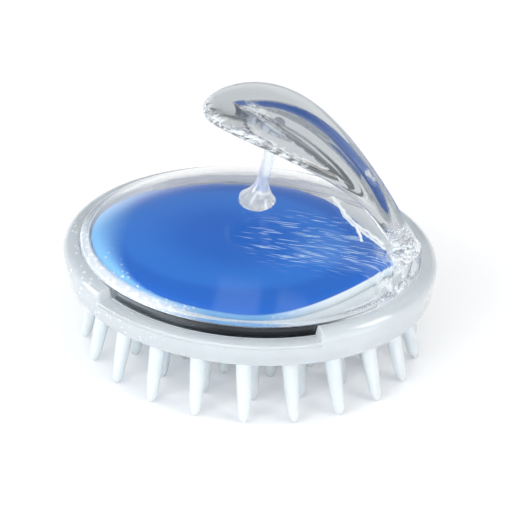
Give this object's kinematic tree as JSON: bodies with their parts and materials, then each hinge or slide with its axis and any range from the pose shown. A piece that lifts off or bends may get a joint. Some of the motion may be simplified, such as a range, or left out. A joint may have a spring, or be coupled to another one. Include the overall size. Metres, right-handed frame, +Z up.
{
  "type": "scalp massager brush",
  "caption": "Hand-held oval scalp massager with soft splayed pins, a domed clear cover over a colour insert, and a leaf handle with a finger rest on a finger post.",
  "frame": {"origin": "middle of the plane that the pin tips stand on", "axes": "+X along the body towards the root of the handle, +Z up through the dome"},
  "size_m": [0.09, 0.07, 0.0687],
  "materials": {
    "milky_plastic": "moulded, milky and translucent, polished",
    "frosted_silicone": "frosted translucent, soft",
    "milky_plate": "moulded, milky, satin",
    "blue_plastic": "moulded, glossy, slightly translucent",
    "plated_trim": "dark bright plating",
    "clear_cover": "clear, polished, lightly scratched",
    "clear_handle": "clear, polished",
    "clear_post": "clear, polished"
  },
  "bodies": {
    "base": {"base_ring": "milky_plastic", "bristle_pad": "frosted_silicone", "backing_plate": "milky_plate", "colour_insert": "blue_plastic"},
    "cover": {"trim_band": "plated_trim", "top_cover": "clear_cover", "handle": "clear_handle", "finger_post": "clear_post"}
  },
  "joints": [
    {"name": "cover_lift", "type": "slide", "parent": "base", "child": "cover", "axis": [0, 0, 1], "range_m": [0, 0.03]}
  ]
}
